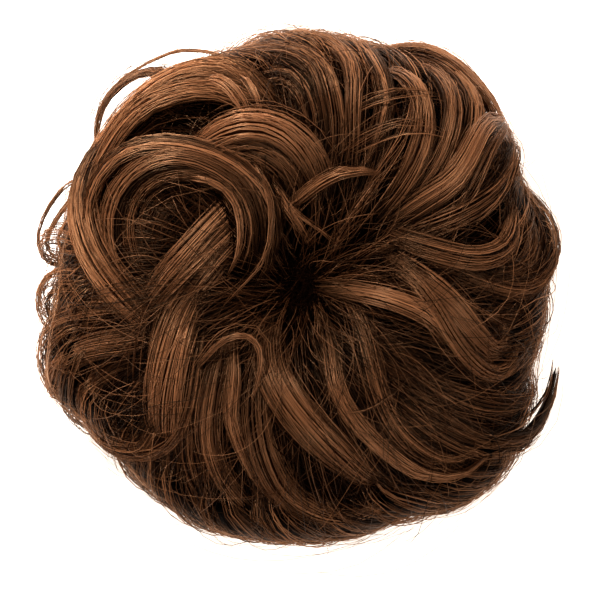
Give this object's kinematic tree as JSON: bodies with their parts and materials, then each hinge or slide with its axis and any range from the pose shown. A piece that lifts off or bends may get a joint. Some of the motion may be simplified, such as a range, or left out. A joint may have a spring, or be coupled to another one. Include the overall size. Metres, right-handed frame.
{
  "type": "top knot hairpiece",
  "caption": "Messy bun hairpiece: curled brown false hair sewn round an elastic loop, open in the middle for the wearer's own hair.",
  "frame": {"origin": "middle of the bun's outline, on the surface that its underside rests on", "axes": "+Z is out of the bun, away from the head; +Y is the top of the bun as worn; +X is its right as seen from outside"},
  "size_m": [0.1572, 0.1559, 0.0596],
  "materials": {
    "elastic": "matt knitted cover over rubber",
    "weft": "matt woven strip",
    "hair": "silky curled synthetic fibre"
  },
  "bodies": {
    "root": {"elastic_band": "elastic", "weft_band": "weft", "hair_locks": "hair"}
  },
  "joints": []
}
